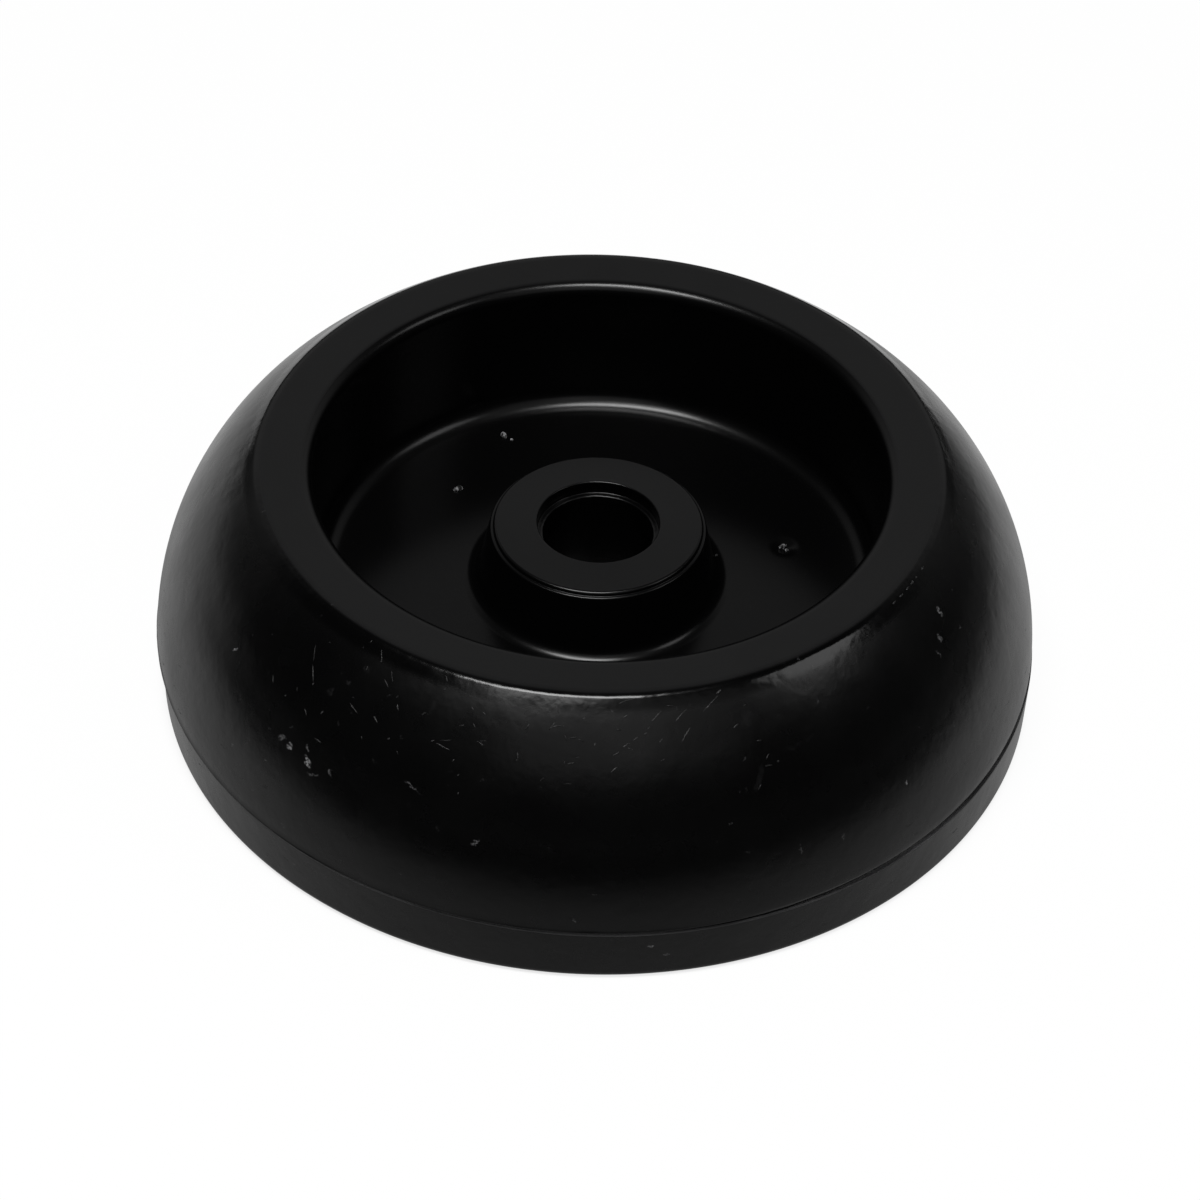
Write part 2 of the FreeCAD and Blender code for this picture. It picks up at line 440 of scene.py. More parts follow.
    def rounded_corner(self, before: Vector, corner: Corner, after: Vector) -> list[Point]:
        """Points of one corner of the section.

        Args:
            before: the corner before it.
            corner: the corner itself.
            after: the corner after it.

        Returns:
            The corner's own point, or the points along its rounding.
        """
        if not corner.rounding:
            return [(corner.r, corner.z)]
        back = (before - corner.at).normalized()
        ahead = (after - corner.at).normalized()
        half = math.acos(max(-1.0, min(1.0, back.dot(ahead)))) / 2
        middle = corner.at + (back + ahead).normalized() * (corner.rounding / math.sin(half))
        reach = corner.rounding / math.tan(half)
        start = corner.at + back * reach - middle
        end = corner.at + ahead * reach - middle
        first = math.atan2(start.y, start.x)
        sweep = math.remainder(math.atan2(end.y, end.x) - first, 2 * math.pi)
        return self.arc_points(middle, corner.rounding, first, first + sweep, corner.steps)

    def straight_points(self, start: Point, end: Point, run: int) -> list[Point]:
        """Points inside a straight run, with a guard point close to each end.

        Args:
            start: where the run starts.
            end: where it ends.
            run: number of chords between the guard points, or 0 for a bare run.

        Returns:
            The points between the two ends.
        """
        a, b = Vector(start), Vector(end)
        length = (b - a).length
        if not run or length < 4 * self.guard:
            return []
        low, high = self.guard / length, 1 - self.guard / length
        shares = [low + (high - low) * step / run for step in range(run + 1)]
        return [tuple(a.lerp(b, share)) for share in shares]

    def chain(self, corners: Sequence[Corner]) -> list[Point]:
        """Draw a chain of corners with the roundings and the runs between them.

        Args:
            corners: the corners in order.

        Returns:
            The points along the chain.
        """
        points: list[Point] = []
        for index, corner in enumerate(corners):
            before = corners[max(index - 1, 0)].at
            after = corners[min(index + 1, len(corners) - 1)].at
            bend = self.rounded_corner(before, corner, after)
            if points:
                points += self.straight_points(points[-1], bend[0], corners[index - 1].run)
            points += bend
        return points

    def points(self) -> list[Point]:
        """The whole closed section, going round from the bore under the wheel and back over the hub."""
        lower, upper = self.chain(self.lower_corners()), self.chain(self.upper_corners())
        return lower + self.mould_line_points() + self.crown_points() + upper


@dataclass(frozen=True)
class Viewpoint:
    """The photograph's camera, fitted to the wheel's circles.

    Lengths are in metres, and places in the picture in pixels of the photograph of 1200 by 1200.
    """

    distance: float = 0.5
    elevation: float = 42.16
    roll: float = 1.86
    focus_px: float = 3427.0
    image_px: float = 1200.0
    middle: Point = (595.5, 610.8)
    target_z: float = 9.2 * MM
    sensor: float = 36.0

    def axes(self) -> tuple[Vector, Vector, Vector]:
        """Work out how the camera is turned.

        Returns:
            Directions ahead to the wheel, to the picture's right and to its top.
        """
        tilt, turn = math.radians(self.elevation), math.radians(self.roll)
        ahead = Vector((0.0, math.cos(tilt), -math.sin(tilt)))
        level = Vector((1.0, 0.0, 0.0))
        upright = level.cross(ahead)
        right = level * math.cos(turn) + upright * math.sin(turn)
        up = upright * math.cos(turn) - level * math.sin(turn)
        return ahead, right, up

    def eye(self) -> Vector:
        """Place of the camera."""
        ahead, _, _ = self.axes()
        return Vector((0.0, 0.0, self.target_z)) - ahead * self.distance

    def sight(self, pixel: Point) -> Vector:
        """Look through a pixel of the photograph.

        Args:
            pixel: the place in the picture.

        Returns:
            The direction from the camera.
        """
        ahead, right, up = self.axes()
        aside = (pixel[0] - self.middle[0]) / self.focus_px
        above = (self.middle[1] - pixel[1]) / self.focus_px
        return (ahead + right * aside + up * above).normalized()

    def pixel_size(self) -> float:
        """Millimetres that one pixel covers at the wheel."""
        return self.distance / MM / self.focus_px

    def build(self) -> bpy.types.Object:
        """Set the camera up so that the wheel stands in the picture as in the photograph.

        Returns:
            The scene's camera.
        """
        _, right, _ = self.axes()
        half = self.image_px / 2
        aim = self.sight((half, half))
        right = (right - aim * right.dot(aim)).normalized()
        up = right.cross(aim)
        data = bpy.data.cameras.new("camera")
        data.sensor_width = self.sensor
        data.lens = self.sensor * self.focus_px / self.image_px
        camera = bpy.data.objects.new("camera", data)
        turned = Matrix((right, up, -aim)).transposed().to_4x4()
        camera.matrix_world = Matrix.Translation(self.eye()) @ turned
        bpy.context.collection.objects.link(camera)
        bpy.context.scene.camera = camera
        return camera


@dataclass(frozen=True)
class Scuff:
    """One worn spot on the tread: degrees round from the front, height and half sizes in millimetres."""

    turn: float
    height: float
    half: Point
    tilt: float = 0.0
    level: float = 1.0


@dataclass(frozen=True)
class TreadLayout:
    """The tread laid out flat, in millimetres: round at a mean radius and up along the crown's arc."""

    mean_r: float = 60.0
    crown_radius: float = 38.0
    crown_middle: Point = (25.56, 7.56)
    sight_heights: Span = (37.9, 9.0)
    sight_halvings: int = 40

    def flat(self, graph: Graph, x: Wire, y: Wire, z: Wire) -> Wire:
        """Lay a place on the tread out flat: metres round from the front, metres up along the crown.

        Args:
            graph: the tree to add to.
            x: distance to the right.
            y: distance to the back.
            z: height.

        Returns:
            The flat place as a vector.
        """
        around = x.math("ARCTAN2", 0 - y) * (self.mean_r * MM)
        steep = ((z - self.crown_middle[1] * MM) / (self.crown_radius * MM)).math("MINIMUM", 1.0)
        return graph.join(around, steep.math("ARCSINE") * (self.crown_radius * MM), 0.0)

    def spot(self, turn: float, height: float) -> Point:
        """Flat place of a spot, from its degrees round from the front and its height."""
        steep = math.asin((height - self.crown_middle[1]) / self.crown_radius)
        return math.radians(turn) * self.mean_r, steep * self.crown_radius

    def crown_r(self, height: float) -> float:
        """Radius of the tread at a height."""
        rise = height - self.crown_middle[1]
        return self.crown_middle[0] + math.sqrt(self.crown_radius ** 2 - rise ** 2)

    def seen_at(self, eye: Vector, sight: Vector) -> Point:
        """Find where a line of sight meets the tread, by halving the stretch that holds the meeting.

        Args:
            eye: where the line starts, in millimetres.
            sight: its direction.

        Returns:
            Degrees round from the front and height.
        """
        outside, inside = ((height - eye.z) / sight.z for height in self.sight_heights)
        for _ in range(self.sight_halvings):
            half = (outside + inside) / 2
            place = eye + sight * half
            if place.xy.length > self.crown_r(place.z):
                outside = half
            else:
                inside = half
        place = eye + sight * inside
        return math.degrees(math.atan2(place.x, -place.y)), place.z


@dataclass(frozen=True)
class Strokes:
    """A scatter of short straight marks, one at most to a cell, all sizes in millimetres."""

    cell: float
    half: Point
    share: float
    tilt: Span = (-90.0, 90.0)
    full: Point = (0.4, 0.3)
    soft: float = 0.02
    faintest: float = 0.15

    def build(self, graph: Graph, flat: Wire) -> Wire:
        """Add the scatter.

        Args:
            graph: the tree to add to.
            flat: the surface laid out flat, in metres.

        Returns:
            A mask that is 1 on the marks.
        """
        values = {"Vector": flat, "Scale": 1 / (self.cell * MM)}
        middle = graph.node("ShaderNodeTexVoronoi", {"voronoi_dimensions": "2D"}, values, "Position")
        chance = Wire(graph, middle.socket.node.outputs["Color"])
        turn, pick, level = graph.split(chance)
        low, high = (math.radians(angle) for angle in self.tilt)
        angle = low + (high - low) * turn
        across, up, _ = graph.split(graph.vector("SUBTRACT", flat, middle))
        cosine, sine = angle.math("COSINE"), angle.math("SINE")
        along = (across * cosine + up * sine).math("ABSOLUTE")
        aside = (up * cosine - across * sine).math("ABSOLUTE")
        long, wide = self.half[0] * MM, self.half[1] * MM
        mark = along.fall(self.full[0] * long, long) * aside.fall(self.full[1] * wide, wide)
        picked = pick.rise(1 - self.share, 1 + self.soft - self.share)
        return mark * picked * (self.faintest + (1 - self.faintest) * level * level)


@dataclass(frozen=True)
class FinishZones:
    """Where each finish of the moulding lies: radii, heights and soft edges in millimetres."""

    rim_face_z: Span = (37.6, 37.75)
    rim_face_r: Span = (42.0, 47.6)
    rim_face_soft: float = 0.5
    hub_face_z: Span = (25.98, 26.02)
    hub_face_r: Span = (9.0, 14.5)
    hub_face_soft: float = 0.15
    cup_edge_r: Span = (41.8, 42.2)
    cup_floor_z: Span = (12.0, 14.8)
    brim_z: Span = (36.3, 37.2)
    tread_edge_r: Span = (47.2, 48.2)

    def build(self, r: Wire, z: Wire) -> tuple[Wire, Wire, Wire, Wire]:
        """Make the masks.

        Args:
            r: distance from the axle.
            z: height.

        Returns:
            Masks of the matte end faces, the polished cup, the brim above the crown and the tread.
        """
        rim = r.within(*in_metres(self.rim_face_r), self.rim_face_soft * MM)
        hub = r.within(*in_metres(self.hub_face_r), self.hub_face_soft * MM)
        rim = z.rise(*in_metres(self.rim_face_z)) * rim
        hub = z.rise(*in_metres(self.hub_face_z)) * hub
        face = (rim + hub).math("MINIMUM", 1.0)
        cup = (1 - r.rise(*in_metres(self.cup_edge_r))) * z.rise(*in_metres(self.cup_floor_z))
        brim = z.rise(*in_metres(self.brim_z)) * (1 - cup)
        return face, cup, brim, r.rise(*in_metres(self.tread_edge_r))


@dataclass(frozen=True)
class TreadWear:
    """Marks of use: torn scuffs, pale flecks, drags and smears, with a painted highlight along the band's
    shoulder at the seam.

    Sizes and heights are in millimetres, those of the painted shoulder highlight above the mould line. The
    spans of crumbs, crowds and dents say between which levels of a noise field the marks come in.
    """

    section: Section
    layout: TreadLayout = TreadLayout()
    flecks: Strokes = Strokes(2.1, (0.28, 0.16), 0.16)
    drags: Strokes = Strokes(2.2, (0.9, 0.14), 0.4, (-25.0, 25.0))
    specks: Strokes = Strokes(1.9, (0.1, 0.06), 0.12)
    ragged_noise: Noise = Noise(1300.0, 3.0)
    ragged_reach: float = 1.6
    crumb_noise: Noise = Noise(3300.0, 2.0, 0.6)
    crumb_levels: Span = (0.36, 0.6)
    crowd_noise: Noise = Noise(75.0, 3.0)
    fleck_crowd: Span = (0.38, 0.66)
    drag_crowd: Span = (0.34, 0.52)
    shoulder_highlight_crowd: Span = (0.35, 0.65)
    smear_dents: Span = (0.36, 0.62)
    scuff_edge: Span = (0.45, 1.0)
    drag_z: Span = (14.0, 26.0)
    # Painted highlight: a pale line along the band's shoulder below the mould line, where its edge catches
    # the light.
    shoulder_highlight_z: Span = (-0.45, -0.2)
    shoulder_highlight_soft: float = 0.1
    shoulder_highlight_r: Span = (62.9, 63.1)
    shoulder_highlight_pale: Span = (0.1, 0.15)
    fleck_pale: float = 0.3
    speck_pale: float = 0.06
    scuffs: tuple[Scuff, ...] = (
        Scuff(-43.6, 23.7, (0.8, 0.5), 30.0, 0.3),
        Scuff(-42.0, 23.4, (0.6, 0.5), 10.0, 0.8),
        Scuff(-39.3, 24.6, (0.7, 0.25), -50.0, 0.3),
        Scuff(-38.6, 23.0, (1.0, 0.55), -40.0, 0.9),
        Scuff(-37.4, 21.9, (1.2, 0.22), 15.0, 0.25),
        Scuff(-35.0, 23.4, (0.5, 0.3), 70.0, 0.35),
        Scuff(-57.6, 27.9, (0.55, 0.28), 50.0, 0.9),
        Scuff(-23.4, 26.0, (1.5, 0.2), -20.0, 0.3),
        Scuff(-13.9, 21.3, (0.8, 0.35), 40.0, 0.5),
        Scuff(61.7, 33.8, (0.5, 1.1), 15.0, 0.5),
        Scuff(58.8, 32.0, (0.5, 0.6), 0.0, 0.35),
        Scuff(57.0, 30.9, (0.25, 0.8), 10.0, 0.25),
        Scuff(43.6, 20.1, (0.35, 0.35), 0.0, 0.9),
        Scuff(33.0, 17.4, (0.15, 0.7), -10.0, 0.2),
        Scuff(27.0, 18.0, (0.2, 1.1), 5.0, 0.12),
        Scuff(8.0, 6.2, (0.5, 0.3), 30.0, 0.5),
        Scuff(10.0, 4.6, (0.5, 0.25), -20.0, 0.4),
    )
    smears: tuple[Scuff, ...] = (
        Scuff(-39.2, 31.8, (0.8, 0.7), 0.0, 0.045),
        Scuff(-37.3, 33.4, (0.5, 0.5), 0.0, 0.06),
        Scuff(-35.2, 35.4, (0.5, 0.7), 0.0, 0.07),
        Scuff(-23.5, 34.7, (0.6, 1.0), 0.0, 0.03),
        Scuff(6.5, 32.5, (0.5, 2.0), -25.0, 0.025),
        Scuff(23.0, 34.5, (1.6, 1.3), 20.0, 0.025),
        Scuff(22.6, 28.2, (0.5, 2.4), -30.0, 0.03),
        Scuff(29.5, 30.8, (2.8, 0.5), 5.0, 0.025),
    )

    def scuff_mask(self, graph: Graph, flat: Wire, scuff: Scuff) -> Wire:
        """Mark one scuff on the tread laid out flat.

        Args:
            graph: the tree to add to.
            flat: the flat place, with its ragged wander.
            scuff: the spot to mark.

        Returns:
            A mask that is as strong as the scuff.
        """
        around, up = self.layout.spot(scuff.turn, scuff.height)
        values = {
            "Vector": flat, "Location": (around * MM, up * MM, 0.0),
            "Rotation": (0.0, 0.0, math.radians(scuff.tilt)),
            "Scale": (scuff.half[0] * MM, scuff.half[1] * MM, 1.0),
        }
        local = graph.node("ShaderNodeMapping", {"vector_type": "TEXTURE"}, values)
        return graph.vector("LENGTH", local, output="Value").fall(*self.scuff_edge, scuff.level)

    def scuffed(self, graph: Graph, flat: Wire, scuffs: Sequence[Scuff]) -> Wire:
        """Mark several scuffs, with the strongest on top.

        Args:
            graph: the tree to add to.
            flat: the flat place, with its ragged wander.
            scuffs: the spots to mark.

        Returns:
            The mask of them all.
        """
        marked = self.scuff_mask(graph, flat, scuffs[0])
        for scuff in scuffs[1:]:
            marked = marked.math("MAXIMUM", self.scuff_mask(graph, flat, scuff))
        return marked

    def painted_shoulder_highlight(self, x: Wire, r: Wire, z: Wire, crowded: Wire) -> Wire:
        """Painted highlight along the band's shoulder, just below the tipped mould line: pale colour where
        its edge catches the light.

        Args:
            x: distance to the right.
            r: distance from the axle.
            z: height.
            crowded: noise that makes the edge uneven.

        Returns:
            How pale the painted highlight makes the edge.
        """
        above = z + x * (self.section.seam_tip / self.section.tread_r) - self.section.mould_line * MM
        edge = above.within(*in_metres(self.shoulder_highlight_z), self.shoulder_highlight_soft * MM) * r.rise(*in_metres(self.shoulder_highlight_r))
        least, more = self.shoulder_highlight_pale
        return edge * (least + more * crowded.rise(*self.shoulder_highlight_crowd))

    def build(self, graph: Graph, place: Wire, tread: Wire, dent: Wire) -> tuple[Wire, Wire]:
        """Add all the marks.

        Args:
            graph: the tree to add to.
            place: the place on the wheel.
            tread: mask of the tread.
            dent: noise of the small dents.

        Returns:
            How pale the plastic is worn, and a mask of the dull drags.
        """
        x, y, z = graph.split(place)
        flat = self.layout.flat(graph, x, y, z)
        wander = graph.scaled(self.ragged_noise.wander(graph, flat), self.ragged_reach * MM)
        ragged = graph.vector("ADD", flat, wander)
        crumb = self.crumb_noise.level(graph, flat)
        crowded = self.crowd_noise.level(graph, place)
        flecked = self.flecks.build(graph, ragged) * crowded.rise(*self.fleck_crowd) * tread
        low_down = z.fall(*in_metres(self.drag_z))
        dragged = self.drags.build(graph, ragged) * low_down * crowded.rise(*self.drag_crowd) * tread
        specked = self.specks.build(graph, graph.join(x, y, 0.0)) * (1 - tread)
        torn = self.scuffed(graph, ragged, self.scuffs)
        pale = (flecked * self.fleck_pale).math("MAXIMUM", torn) * crumb.rise(*self.crumb_levels) * tread
        # The painted shoulder highlight is added to the paleness of the wear.
        pale = pale + self.painted_shoulder_highlight(x, x.hypot(y), z, crowded)
        pale = (pale + specked * self.speck_pale).math("MINIMUM", 1.0)
        smeared = self.scuffed(graph, ragged, self.smears)
        return pale + smeared * dent.rise(*self.smear_dents) * tread, dragged


@dataclass(frozen=True)
class PlasticFinish:
    """Black moulded plastic: polished cup, matte end faces and a satin, scuffed tread."""

    wear: TreadWear
    zones: FinishZones = FinishZones()
    name: str = "moulded_black_plastic"
    colour: Colour = (0.0009, 0.0009, 0.00095)
    matte_colour: Colour = (0.0038, 0.0038, 0.0039)
    wear_and_highlight_colour: Colour = (0.18, 0.18, 0.185)
    ior: float = 1.33
    polished: float = 0.24
    matte: float = 0.4
    satin: float = 0.28
    edge: float = 0.15
    worn_rough: float = 0.35
    dragged_rough: float = 0.25
    cloud_rough: float = 0.2
    cloud_noise: Noise = Noise(85.0, 4.0, 0.6)
    dent_noise: Noise = Noise(420.0, 3.0)
    grain_noise: Noise = Noise(2300.0)
    dent_height: float = 0.22
    grain_height: float = 0.02
    bump_depth: float = 0.15
    smooth_relief: float = 0.12

    def build(self) -> bpy.types.Material:
        """Make the material.

        Returns:
            A node material on Object coordinates.
        """
        material, graph = blank_material(self.name)
        place = graph.node("ShaderNodeTexCoord", {}, {}, "Object")
        x, y, z = graph.split(place)
        face, cup, brim, tread = self.zones.build(x.hypot(y), z)
        cloud = self.cloud_noise.level(graph, place) - 0.5
        dent = self.dent_noise.level(graph, place)
        grain = self.grain_noise.level(graph, place)
        pale, dragged = self.wear.build(graph, place, tread, dent)
        relief = self.smooth_relief + (1 - self.smooth_relief) * tread
        roughness = self.satin + (self.polished - self.satin) * cup + (self.edge - self.satin) * brim
        roughness = roughness + face * (self.matte - self.polished) + cloud * self.cloud_rough * relief
        roughness = roughness + pale * self.worn_rough + dragged * self.dragged_rough
        height = (cloud + dent * self.dent_height + grain * self.grain_height) * relief
        relieved = {"Strength": 1.0, "Distance": self.bump_depth * MM, "Height": height}
        bump = graph.node("ShaderNodeBump", {}, relieved, "Normal")
        plain = graph.mixed(face * (1 + cloud), (*self.colour, 1.0), (*self.matte_colour, 1.0))
        # Pale colour for the wear and for the painted highlight along the band's shoulder.
        colour = graph.mixed(pale, plain, (*self.wear_and_highlight_colour, 1.0))
        values = {"Base Color": colour, "Roughness": roughness, "IOR": self.ior, "Normal": bump}
        graph.finish(graph.node("ShaderNodeBsdfPrincipled", {}, values))
        return material


@dataclass(frozen=True)
class TornFinish:
    """Torn, stretched plastic, as pale as each torn spot says."""

    name: str = "torn_black_plastic"
    colour: Colour = (0.006, 0.006, 0.006)
    pale_colour: Colour = (0.2, 0.2, 0.205)
    ior: float = 1.33
    fibre_noise: Noise = Noise(2400.0, 3.0, 0.6)
    fibre_levels: Span = (0.42, 0.66)
    roughness: Span = (0.3, 0.3)
    bump_strength: float = 0.6
    bump_depth: float = 0.1

    def build(self) -> bpy.types.Material:
        """Make the material.

        Returns:
            A node material on Object coordinates.
        """
        material, graph = blank_material(self.name)
        place = graph.node("ShaderNodeTexCoord", {}, {}, "Object")
        fibre = self.fibre_noise.level(graph, place)
        pale = graph.node("ShaderNodeAttribute", {"attribute_name": "pale"}, {}, "Fac")
        pale = pale * fibre.rise(*self.fibre_levels)
        colour = graph.mixed(pale, (*self.colour, 1.0), (*self.pale_colour, 1.0))
        relieved = {"Strength": self.bump_strength, "Distance": self.bump_depth * MM, "Height": fibre}
        bump = graph.node("ShaderNodeBump", {}, relieved, "Normal")
        least, more = self.roughness
        values = {"Base Color": colour, "Roughness": least + more * fibre, "IOR": self.ior, "Normal": bump}
        graph.finish(graph.node("ShaderNodeBsdfPrincipled", {}, values))
        return material


def tree_with_inputs(name: str, sockets: Mapping[str, str]) -> tuple[Graph, dict[str, Wire]]:
    """Start a geometry tree.

    Args:
        name: the tree's name.
        sockets: kind of each named input, besides the geometry.

    Returns:
        The tree as a graph, and its inputs by name.
    """
    tree = bpy.data.node_groups.new(name, "GeometryNodeTree")
    face = tree.interface
    face.new_socket("Geometry", in_out="INPUT", socket_type="NodeSocketGeometry")
    for label, kind in sockets.items():
        face.new_socket(label, in_out="INPUT", socket_type=kind)
    face.new_socket("Geometry", in_out="OUTPUT", socket_type="NodeSocketGeometry")
    graph = Graph(tree)
    group = tree.nodes.new("NodeGroupInput")
    return graph, {socket.name: Wire(graph, socket) for socket in group.outputs if socket.name}


def end_tree(graph: Graph, geometry: Wire) -> bpy.types.NodeTree:
    """End a geometry tree.

    Args:
        graph: the tree as a graph.
        geometry: what it gives out.

    Returns:
        The finished tree.
    """
    out = graph.tree.nodes.new("NodeGroupOutput")
    graph.tree.links.new(geometry.socket, out.inputs[0])
    return graph.tree


def finished_piece(
    name: str, start: bpy.types.Mesh, tree: bpy.types.NodeTree, sizes: Mapping[str, Number],
) -> bpy.types.Object:
    """Run a geometry tree on a mesh and keep the result as a plain piece.

    Args:
        name: name of the finished piece.
        start: mesh that the tree starts from.
        tree: the tree to run.
        sizes: values of the tree's named inputs.

    Returns:
        A plain mesh object at the origin.
    """
    raw = bpy.data.objects.new(f"{name}_start", start)
    bpy.context.collection.objects.link(raw)
    modifier = raw.modifiers.new("shape", "NODES")
    modifier.node_group = tree
    for item in tree.interface.items_tree:
        if item.in_out == "INPUT" and item.name in sizes:
            modifier[item.identifier] = sizes[item.name]
    depsgraph = bpy.context.evaluated_depsgraph_get()
    mesh = bpy.data.meshes.new_from_object(raw.evaluated_get(depsgraph), depsgraph=depsgraph)
    mesh.name = name
    raw.modifiers.clear()
    bpy.data.objects.remove(raw)
    piece = bpy.data.objects.new(name, mesh)
    bpy.context.collection.objects.link(piece)
    return piece


@dataclass
class WheelMoulding:
    """The wheel itself: its section swept once round the axle, with the small faults of its mould.

    Sizes are in millimetres. Heights of faults at the mould line are counted from that line.
    """

    section: Section
    finish: PlasticFinish
    name: str = "wheel_moulding"
    turns: int = 360
    path_r: float = 40.0
    half_shift: float = 0.3
    half_edge: Span = (-0.025, -0.015)
    half_r: Span = (46.0, 60.0)
    seam_foot: Span = (-1.6, -0.4)
    seam_top: Span = (0.45, 0.85)
    seam_r: Span = (60.5, 62.0)
    seam_open: float = 0.26
    open_side: Span = (5.0, 45.0)
    open_share: float = 1.1
    gape_flash: float = 0.4
    gape_shoulder: float = 0.8
    shoulder_z: Span = (-0.15, -0.03)
    shoulder_soft: float = 0.1
    flash_ragged: float = 0.12
    flash_foot: Span = (0.0, 0.08)
    flash_top: Span = (0.3, 0.7)
    flash_r: Span = (62.0, 63.0)
    flash_grain: Noise = Noise(420.0, 3.0)
    flash_swell: Noise = Noise(60.0, 1.0)
    ledge_ragged: float = 0.16
    ledge_z: Span = (24.2, 24.5)
    ledge_soft: float = 0.05
    ledge_r: Span = (8.2, 8.6)
    ledge_noise: Noise = Noise(900.0)
    ledge_level: float = 0.6
    nick_depth: float = 0.5
    nick_r: Span = (46.9, 48.6)
    nick_soft: float = 0.4
    nick_z: Span = (36.8, 37.6)
    nick_noise: Noise = Noise(330.0)
    nick_level: float = 0.66
    dish_place: Point = (27.41, 7.73)
    dish_radius: float = 2.3
    dish_depth: float = 0.4
    dish_z: Span = (15.0, 16.5)
    dish_soft: float = 0.2

    def sizes(self) -> dict[str, Number]:
        """Values of the tree's named inputs, lengths in metres."""
        return {
            "Turns": self.turns, "Path Radius": self.path_r * MM, "Half Shift": self.half_shift * MM,
            "Seam Tip": self.section.seam_tip * MM, "Seam Open": self.seam_open * MM,
            "Flash Ragged": self.flash_ragged * MM, "Ledge Ragged": self.ledge_ragged * MM,
            "Nick Depth": self.nick_depth * MM, "Dish Depth": self.dish_depth * MM,
        }

    def section_mesh(self) -> bpy.types.Mesh:
        """Draw the section as a closed ring of edges.

        Returns:
            The ring, offset for the sweep's path.
        """
        points = [((r - self.path_r) * MM, -z * MM, 0.0) for r, z in self.section.points()]
        count = len(points)
        edges = [(index, (index + 1) % count) for index in range(count)]
        mesh = bpy.data.meshes.new(f"{self.name}_section")
        mesh.from_pydata(points, edges, [])
        return mesh

    def tree(self, material: bpy.types.Material) -> bpy.types.NodeTree:
        """Build the node tree that sweeps the section and works in the mould's faults.

        Args:
            material: finish of the moulding.

        Returns:
            The tree, with named inputs for its sizes.
        """
        kinds = {label: "NodeSocketFloat" for label in self.sizes()}
        kinds["Turns"] = "NodeSocketInt"
        graph, size = tree_with_inputs("sweep_moulding", kinds)
        profile = graph.node("GeometryNodeMeshToCurve", {}, {0: size["Geometry"]})
        round_path = {"Resolution": size["Turns"], "Radius": size["Path Radius"]}
        ring = graph.node("GeometryNodeCurvePrimitiveCircle", {"mode": "RADIUS"}, round_path)
        upright = graph.node("GeometryNodeSetCurveNormal", {"mode": "Z_UP"}, {"Curve": ring})
        swept = graph.node("GeometryNodeCurveToMesh", {}, {"Curve": upright, "Profile Curve": profile})
        facing = graph.node("GeometryNodeFlipFaces", {}, {0: swept})
        faulty = {"Geometry": facing, "Offset": self.faults(graph, size)}
        moved = graph.node("GeometryNodeSetPosition", {}, faulty)
        smooth = graph.node("GeometryNodeSetShadeSmooth", {}, {0: moved})
        real = graph.node("GeometryNodeRealizeInstances", {}, {0: smooth})
        dressed = graph.node("GeometryNodeSetMaterial", {}, {"Geometry": real, "Material": material})
        return end_tree(graph, dressed)

    def faults(self, graph: Graph, size: Mapping[str, Wire]) -> Wire:
        """Field of the small faults: seam, ragged ledge in the bore, nicked rim and the dish at the gate.

        Args:
            graph: the tree to add to.
            size: the tree's named inputs.

        Returns:
            The offset of each point.
        """
        place = graph.node("GeometryNodeInputPosition", {}, {})
        x, y, z = graph.split(place)
        r = x.hypot(y)
        outward = graph.vector("NORMALIZE", graph.join(x, y, 0.0))
        aside, out, up = self.seam_faults(graph, size, place, r)
        bore_side = 1 - r.rise(*in_metres(self.ledge_r))
        ledge = z.within(*in_metres(self.ledge_z), self.ledge_soft * MM) * bore_side
        torn = ledge * (self.ledge_noise.level(graph, place) - self.ledge_level) * size["Ledge Ragged"]
        corner = r.within(*in_metres(self.nick_r), self.nick_soft * MM) * z.rise(*in_metres(self.nick_z))
        nick = (self.nick_noise.level(graph, place) - self.nick_level).math("MAXIMUM", 0.0)
        out = out + torn - corner * nick * size["Nick Depth"]
        dish_x, dish_y = x - self.dish_place[0] * MM, y - self.dish_place[1] * MM
        hollow = 1 - dish_x.hypot(dish_y).rise(0.0, self.dish_radius * MM)
        dish = hollow * z.within(*in_metres(self.dish_z), self.dish_soft * MM) * size["Dish Depth"]
        shift = graph.join(aside, 0.0, torn - dish + up)
        return graph.vector("ADD", graph.scaled(outward, out), shift)

    def seam_faults(
        self, graph: Graph, size: Mapping[str, Wire], place: Wire, r: Wire,
    ) -> tuple[Wire, Wire, Wire]:
        """Faults at the mould line: shifted lower half, ragged flash and a seam that tips and opens.

        Args:
            graph: the tree to add to.
            size: the tree's named inputs.
            place: the place of each point.
            r: its distance from the axle.

        Returns:
            How far each point goes to the right, away from the axle and up.
        """
        x, _, z = graph.split(place)
        line = self.section.mould_line
        below = (1 - z.rise(*in_metres(self.half_edge, line))) * r.rise(*in_metres(self.half_r))
        flash = z.rise(*in_metres(self.flash_foot, line)) * (1 - z.rise(*in_metres(self.flash_top, line)))
        flash = flash * r.rise(*in_metres(self.flash_r))
        ragged = (self.flash_grain.level(graph, place) - 0.5) + (self.flash_swell.level(graph, place) - 0.5)
        seam = z.rise(*in_metres(self.seam_foot, line)) * z.fall(*in_metres(self.seam_top, line))
        outside = r.rise(*in_metres(self.seam_r))
        tipped = seam * outside * (x / (self.section.tread_r * MM)) * size["Seam Tip"]
        opened = x.rise(*in_metres(self.open_side)) * size["Seam Open"]
        shoulder = z.within(*in_metres(self.shoulder_z, line), self.shoulder_soft * MM) * outside
        gape = (flash * self.gape_flash - shoulder * self.gape_shoulder) * opened
        out = flash * ragged * size["Flash Ragged"] - flash * opened * self.open_share
        return below * size["Half Shift"], out, gape - tipped

